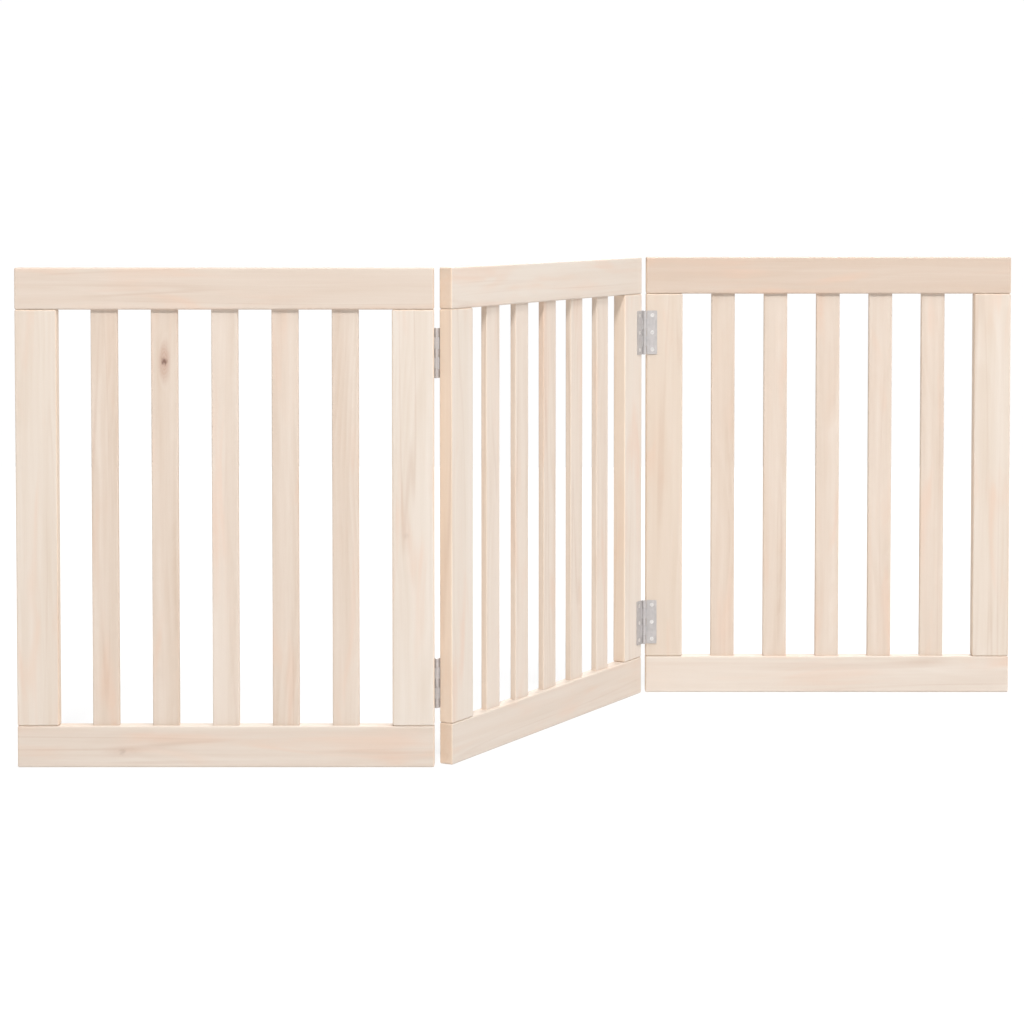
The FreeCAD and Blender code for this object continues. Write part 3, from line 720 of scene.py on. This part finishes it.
# %% Slats of the three panels
SLAT_EDGE_RADIUS = 1.5 * MM
for index, (panel, place) in enumerate(PANELS.items()):
    mesh = grow(f"{panel}_slats", slat_tree, {
        "Count": 5, "Pitch": SLAT_PITCH, "Length": SLAT_LENGTH, "Width": SLAT_WIDTH,
        "Thickness": SLAT_THICKNESS, "Edge radius": SLAT_EDGE_RADIUS,
        "Height": PANEL_HEIGHT / 2, "First number": 100 + 10 * index, "Finish": SLAT_PINE})
    keep_grain(mesh, SLAT_WIDTH)
    mesh.transform(place)
    finish_piece(f"{panel}_slats", mesh, SLAT_PINE, f"{panel}_panel",
                 [f"{panel}_slat_{number}" for number in range(1, 6)])
    print(panel, "slats:", len(mesh.polygons), "faces")

# %% [markdown]
# A butt hinge's leaf is punched from flat steel with tabs along one side. The tabs are then
# rolled round the pin into knuckles, and the tip of each roll stops just short of the leaf,
# which leaves a thin seam. The flat blank comes first: its outline has the distance from the
# roll line along x and the hinge's height along y, and its tabs are cut into short steps.

# %% The flat blank
LEAF_THICKNESS, PIN_RADIUS, PIN_PLAY = 1.2 * MM, 1.5 * MM, 0.05 * MM
ROLL_RADIUS = PIN_RADIUS + PIN_PLAY + LEAF_THICKNESS / 2
BARREL_RADIUS = ROLL_RADIUS + LEAF_THICKNESS / 2
ROLL_LENGTH, ROLL_STEPS = ROLL_RADIUS * math.radians(294), 22
leaf_low, leaf_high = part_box("left_lower_hinge_outer_leaf")
HINGE_HALF = (leaf_high.z - leaf_low.z) / 2
LEAF_WIDTH = near_axis.x - leaf_low.x
LEAF_CORNER, NOTCH = 1 * MM, BARREL_RADIUS + 0.6 * MM
SCREW_X, SCREW_PITCH = LEAF_WIDTH - 6.5 * MM, 23.5 * MM
HOLE_OUTER, HOLE_INNER, HOLE_STEPS = 2.75 * MM, 1.6 * MM, 28
HOLE_HEIGHTS = (-SCREW_PITCH, 0, SCREW_PITCH)
HOLES = [Vector((SCREW_X, height)) for height in HOLE_HEIGHTS]
KNUCKLES = {
    "middle_leaf": [(-30, -19.15), (-4.85, 4.85), (19.15, 30)],
    "outer_leaf": [(-18.85, -5.15), (5.15, 18.85)],
}
print("leaf", LEAF_WIDTH, "by", 2 * HINGE_HALF, "barrel radius", BARREL_RADIUS)


def blank_outline(tabs):
    """The flat blank's outline, anticlockwise."""
    points = []
    for side, begin in ((-1, -90), (1, 0)):
        for step_number in range(5):
            angle = math.radians(begin + 22.5 * step_number)
            points.append((LEAF_WIDTH - LEAF_CORNER + LEAF_CORNER * math.cos(angle),
                           side * (HINGE_HALF - LEAF_CORNER) + LEAF_CORNER * math.sin(angle)))
    height = HINGE_HALF
    for bottom, top in reversed(tabs):
        bottom, top = bottom * MM, top * MM
        if height - top > 0.01 * MM:
            points += [(NOTCH, height), (NOTCH, top)]
        rolled = [-ROLL_LENGTH * number / ROLL_STEPS for number in range(1, ROLL_STEPS)]
        rolled = [0.0] + rolled + [-ROLL_LENGTH]
        points += [(s, top) for s in rolled] + [(s, bottom) for s in reversed(rolled)]
        height = bottom
    if height + HINGE_HALF > 0.01 * MM:
        points += [(NOTCH, height), (NOTCH, -HINGE_HALF)]
    return points


def inside(point, outline):
    """Whether a point lies inside a closed outline, by counting the sides that it lies left of."""
    x, y = point
    found = False
    for (ax, ay), (bx, by) in zip(outline, outline[1:] + outline[:1]):
        if (ay > y) != (by > y) and x < ax + (y - ay) / (by - ay) * (bx - ax):
            found = not found
    return found


def ring_of(radius, steps, x=0.0, y=0.0):
    """Points round a circle, anticlockwise."""
    return [Vector((x + radius * math.cos(2 * math.pi * i / steps),
                    y + radius * math.sin(2 * math.pi * i / steps))) for i in range(steps)]


# %% [markdown]
# The blank is triangulated between its outline and its holes, given its thickness, and every
# vertex beyond the roll line is bent round the pin. A hole's ring is wider on the outer side than
# on the inner one, which makes the countersink. Lines across each tab let it bend in even steps.

# %% The leaf, cut out and rolled


def roll(s, height, depth):
    """Bends the flat blank: beyond s = 0 it wraps round the pin. Depth is from its middle, up."""
    if s >= 0:
        return Vector((s, -ROLL_RADIUS + depth, height))
    angle = -math.pi / 2 + s / ROLL_RADIUS
    radius = ROLL_RADIUS - depth
    return Vector((radius * math.cos(angle), radius * math.sin(angle), height))


def cut_blank(kind):
    """The points of the flat blank, and its triangles without the holes."""
    outline = blank_outline(KNUCKLES[kind])
    points = [Vector(point) for point in outline]
    edges = [(i, (i + 1) % len(points)) for i in range(len(points))]
    across = {}
    for i, (s, _) in enumerate(outline):
        if s <= 0:
            across.setdefault(round(s * 1e7), []).append(i)
    for same in across.values():
        same.sort(key=lambda i: outline[i][1])
        edges += [(same[i], same[i + 1]) for i in range(0, len(same) - 1, 2)]
    for height in HOLE_HEIGHTS:
        first = len(points)
        points += ring_of(HOLE_OUTER, HOLE_STEPS, SCREW_X, height)
        edges += [(first + i, first + (i + 1) % HOLE_STEPS) for i in range(HOLE_STEPS)]
    flat, _, triangles, _, _, _ = delaunay_2d_cdt(points, edges, [], 0, 1e-9)
    kept = []
    for triangle in triangles:
        middle = sum((flat[i] for i in triangle), Vector((0, 0))) / 3
        in_hole = any((middle - hole).length < HOLE_OUTER * 0.97 for hole in HOLES)
        if inside(middle, outline) and not in_hole:
            kept.append(triangle)
    return flat, kept


def leaf_mesh(kind):
    """A leaf in its hinge's frame, with thickness, countersinks and rolled knuckles."""
    flat, triangles = cut_blank(kind)
    work = bmesh.new()
    outer = [work.verts.new(roll(s, height, LEAF_THICKNESS / 2)) for s, height in flat]
    inner = []
    for point in flat:
        for hole in HOLES:
            reach = point - hole
            if reach.length < HOLE_OUTER * 1.01:
                point = hole + reach.normalized() * HOLE_INNER
        inner.append(work.verts.new(roll(*point, -LEAF_THICKNESS / 2)))
    sides = {}
    for triangle in triangles:
        work.faces.new([outer[i] for i in triangle])
        work.faces.new([inner[i] for i in reversed(triangle)])
        sides.update(dict.fromkeys(zip(triangle, triangle[1:] + triangle[:1])))
    for a, b in sides:
        if (b, a) not in sides:
            work.faces.new([outer[b], outer[a], inner[a], inner[b]])
    loose = [vert for vert in work.verts if not vert.link_faces]
    bmesh.ops.delete(work, geom=loose, context="VERTS")
    if kind == "outer_leaf":
        bmesh.ops.scale(work, vec=(-1, 1, 1), verts=work.verts[:])
    return closed_mesh(work, kind)


BLANKS = {kind: leaf_mesh(kind) for kind in KNUCKLES}

# %% [markdown]
# A hinge has its own frame: the pin is its z axis, x runs along the panel and y points away from
# the wood. The two left hinges join the left and middle panels, and the two right hinges join the
# middle and right panels from the other face, so the middle panel's frame is turned half a turn
# there. Pressed steel has no knife edges, so a small bevel rounds each leaf.

# %% Leaves in their places
HINGE_HEIGHTS = {}
for level in ("lower", "upper"):
    low_point, high_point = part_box(f"left_{level}_hinge_pin")
    HINGE_HEIGHTS[level] = (low_point.z + high_point.z) / 2


def hinge_place(side, half, height):
    """The hinge's frame as seen from one of the two panels that it joins."""
    if half == "outer":
        return PANELS[side] @ Matrix.Translation((AXIS_X, AXIS_Y, height))
    panel = PANELS["middle"] @ Matrix.Rotation(0 if side == "left" else math.pi, 4, "Z")
    return panel @ Matrix.Translation((-AXIS_X, AXIS_Y, height))


def half_hinges(*halves):
    """The hinge, half, place and body of each half that is asked for."""
    for side in ("left", "right"):
        for level, height in HINGE_HEIGHTS.items():
            for half in halves:
                body = "middle_panel" if half == "middle" else f"{side}_panel"
                yield f"{side}_{level}", half, hinge_place(side, half, height), body


for hinge, half, place, body in half_hinges("middle", "outer"):
    name = f"{hinge}_{half}_leaf"
    thing = bpy.data.objects.new(name, BLANKS[f"{half}_leaf"].copy())
    bpy.context.scene.collection.objects.link(thing)
    ease = thing.modifiers.new("eased_edges", "BEVEL")
    ease.width = 0.12 * MM
    ease.segments = 2
    ease.limit_method = "ANGLE"
    ease.angle_limit = math.radians(38)
    mesh = plain_mesh(thing, name)
    thing.modifiers.clear()
    bpy.data.objects.remove(thing)
    mesh.transform(place)
    finish_piece(f"{name}_plate", mesh, LEAF_STEEL, body,
                 [f"{hinge}_hinge_{half}_leaf"])
print("leaves made: 8")

# %% [markdown]
# Twenty-four countersunk wood screws hold the hinges. One screw is turned from a profile: a head
# with a cross recess, a shank, and a thread that winds down to the point. Skin is laid between
# one ring of points and the next, as on a lathe, and a single point closes it.

# %% One screw
HEAD_RADIUS, HEAD_DEPTH, HEAD_EDGE = 2.7 * MM, 1.2 * MM, 0.15 * MM
CROSS_LENGTH, CROSS_WIDTH, CROSS_DEPTH, CROSS_TAPER = 3 * MM, 0.75 * MM, 0.8 * MM, 0.7
SHANK_RADIUS, CORE_RADIUS, CREST = 1.5 * MM, 1.05 * MM, 0.45 * MM
SCREW_LENGTH, TIP_LENGTH, THREAD_PITCH = 14 * MM, 3 * MM, 1.3 * MM
SCREW_STEPS = 24


def skin(work, rings):
    """Faces between each ring of vertices and the next. A ring can be a single vertex."""
    around = max(map(len, rings))
    for first, second in zip(rings, rings[1:]):
        for i in range(around):
            j = (i + 1) % around
            corners = [first[j % len(first)], first[i % len(first)],
                       second[i % len(second)], second[j % len(second)]]
            work.faces.new(list(dict.fromkeys(corners)))


def cross_outline(length, width):
    """Twelve corners of a cross, anticlockwise."""
    a, b = length / 2, width / 2
    points = []
    for step_number in range(4):
        turned = Matrix.Rotation(step_number * math.pi / 2, 2)
        points += [turned @ Vector(point) for point in ((a, -b), (a, b), (b, b))]
    return points


def head_face(work):
    """Makes the head's face round its cross recess, and returns the vertices of its rim."""
    around = SCREW_STEPS
    cross = cross_outline(CROSS_LENGTH, CROSS_WIDTH)
    points = [point * (HEAD_RADIUS - HEAD_EDGE) for point in ring_of(1, around)] + cross
    edges = [(i, (i + 1) % around) for i in range(around)]
    edges += [(around + i, around + (i + 1) % 12) for i in range(12)]
    flat, _, triangles, _, _, _ = delaunay_2d_cdt(points, edges, [], 0, 1e-9)
    top = [work.verts.new((*point, 0)) for point in flat]
    for triangle in triangles:
        middle = sum((flat[i] for i in triangle), Vector((0, 0))) / 3
        a, b = abs(middle.x), abs(middle.y)
        if max(a, b) >= CROSS_LENGTH / 2 or min(a, b) >= CROSS_WIDTH / 2:
            work.faces.new([top[i] for i in triangle])
    low_cross = cross_outline(2.1 * MM, 0.5 * MM)
    bottom = [work.verts.new((*point, -CROSS_DEPTH)) for point in low_cross]
    for i in range(12):
        j = (i + 1) % 12
        work.faces.new([top[around + j], top[around + i], bottom[i], bottom[j]])
    work.faces.new(bottom)
    return top[:around]


def screw_mesh():
    """A screw whose head faces up at z = 0 and whose point is down."""
    work = bmesh.new()
    rim = ring_of(1, SCREW_STEPS)
    rings = [head_face(work)]
    for radius, height in ((HEAD_RADIUS - 0.03 * MM, -0.06 * MM), (HEAD_RADIUS, -0.16 * MM),
                           (SHANK_RADIUS, -HEAD_DEPTH - 0.1 * MM)):
        rings.append([work.verts.new((*point * radius, height)) for point in rim])
    begin, end_height = -HEAD_DEPTH - 1.0 * MM, -SCREW_LENGTH
    rows = int(round((begin - end_height) / (THREAD_PITCH / 6)))
    for row_number in range(rows):
        height = begin + (end_height - begin) * row_number / rows
        narrowing = (height - end_height) / TIP_LENGTH
        core_radius = CORE_RADIUS * min(1.0, 0.12 + 0.88 * narrowing)
        crest = min(1.0, narrowing) * CREST
        ring = []
        for i, point in enumerate(rim):
            phase = (height / THREAD_PITCH + i / SCREW_STEPS) % 1.0
            radius = core_radius + crest * max(0.0, 1 - abs(phase - 0.5) / 0.3)
            ring.append(work.verts.new((*point * radius, height)))
        rings.append(ring)
    rings.append([work.verts.new((0, 0, end_height))])
    skin(work, rings)
    return closed_mesh(work, "wood_screw")


screw_pattern = bpy.data.objects.new("wood_screw", screw_mesh())

# %% [markdown]
# The tree sets a copy of the screw in each hole of a leaf. Each is turned by its own amount, as
# nobody drives every screw to the same angle.

# %% Geometry Nodes tree for a row of screws
screw_tree, given, result = new_tree("row_of_screws", [
    ("Screw", "Object"), ("Count", "Int"), ("Pitch", "Float"), ("Across", "Float"),
    ("Out", "Float"), ("Seed", "Int"), ("Finish", "Material")])
start = add(screw_tree, "ShaderNodeCombineXYZ", {"X": given["Across"], "Y": given["Out"],
            "Z": row_start(screw_tree, given)}).outputs[0]
step = add(screw_tree, "ShaderNodeCombineXYZ", {"Z": given["Pitch"]}).outputs[0]
row = add(screw_tree, "GeometryNodeMeshLine",
          {"Count": given["Count"], "Start Location": start, "Offset": step}).outputs[0]
pattern = add(screw_tree, "GeometryNodeObjectInfo",
              {"Object": given["Screw"]}).outputs["Geometry"]
angle = add(screw_tree, "FunctionNodeRandomValue",
            {2: 0.0, 3: math.pi / 2, "Seed": given["Seed"]}, data_type="FLOAT").outputs[1]
spin = add(screw_tree, "ShaderNodeCombineXYZ", {"Z": angle}).outputs[0]
copies = add(screw_tree, "GeometryNodeInstanceOnPoints", {"Points": row, "Instance": pattern,
             "Rotation": Euler((-math.pi / 2, 0, 0))}).outputs[0]
copies = add(screw_tree, "GeometryNodeRotateInstances",
             {"Instances": copies, "Rotation": spin, "Local Space": True}).outputs[0]
make_real(screw_tree, copies, given, result)

for seed, (hinge, half, place, body) in enumerate(half_hinges("outer", "middle"), 1):
    name = f"{hinge}_{half}_screw_set"
    mesh = grow(name, screw_tree, {
        "Screw": screw_pattern, "Count": 3, "Pitch": SCREW_PITCH,
        "Across": -SCREW_X if half == "outer" else SCREW_X, "Out": -PIN_RADIUS - PIN_PLAY,
        "Seed": seed, "Finish": SCREW_STEEL})
    mesh.transform(place)
    mesh.set_sharp_from_angle(angle=math.radians(35))
    finish_piece(name, mesh, SCREW_STEEL, body, [f"{hinge}_hinge_{half}_screws"])
bpy.data.objects.remove(screw_pattern)
print("screw sets made:", seed)

# %% [markdown]
# Each hinge turns on a wire pin whose ends were peened over, so they are low domes rather than
# flat cuts.

# %% Pins
PIN_HALF, DOME_HEIGHT, DOME_STEPS, PIN_STEPS = (pin_high.z - pin_low.z) / 2, 0.4 * MM, 5, 28


def pin_mesh():
    """A pin along z, turned from its profile."""
    profile = [(0.0, -PIN_HALF)]
    for step_number in range(1, DOME_STEPS + 1):
        angle = math.pi / 2 * step_number / DOME_STEPS
        profile.append((PIN_RADIUS * math.sin(angle),
                        -PIN_HALF + DOME_HEIGHT * (1 - math.cos(angle))))
    profile += [(radius, -height) for radius, height in reversed(profile)]
    work = bmesh.new()
    skin(work, [[work.verts.new((*point, height))
                 for point in ring_of(radius, PIN_STEPS if radius else 1)]
                for radius, height in profile])
    return closed_mesh(work, "pin")


pin = pin_mesh()
for hinge, _, place, body in half_hinges("middle"):
    mesh = pin.copy()
    mesh.transform(place)
    finish_piece(f"{hinge}_hinge_pin_wire", mesh, PIN_STEEL, body,
                 [f"{hinge}_hinge_pin"])
print("pins made: 4, each", round(2 * PIN_HALF / MM, 2), "mm long")

# %% [markdown]
# The dowels that hold the rails to the stiles are inside the wood and stay as measured. They are
# turned beech, a close-grained hardwood with a warm tan colour and short dark flecks. They stand
# in no board of their own, so the pattern is laid out in the object's own coordinates.

# %% Beech dowels
beech, tree, shader = new_material("turned_beech_dowels")
place = add(tree, "ShaderNodeTexCoord").outputs["Object"]
fleck_place = add(tree, "ShaderNodeVectorMath", {0: place, 1: (900, 900, 120)},
                  operation="MULTIPLY").outputs[0]
fleck = add(tree, "ShaderNodeTexNoise",
            {"Vector": fleck_place, "Scale": 1.0, "Detail": 3.0}).outputs[0]
colour = add(tree, "ShaderNodeMix", {0: fleck, 6: linear("#DDBE98"), 7: linear("#B98F66")},
             data_type="RGBA").outputs[2]
bump = add(tree, "ShaderNodeBump",
           {"Strength": 0.2, "Distance": 0.0001, "Height": fleck}).outputs[0]
give(shader, {"Base Color": colour, "Roughness": 0.55, "Normal": bump})
for panel in PANELS:
    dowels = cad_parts[f"{panel}_dowels"]
    for material_slot in dowels.material_slots:
        material_slot.material = beech
    if not dowels.material_slots:
        dowels.data.materials.append(beech)
print("dowels stay as measured, in beech")
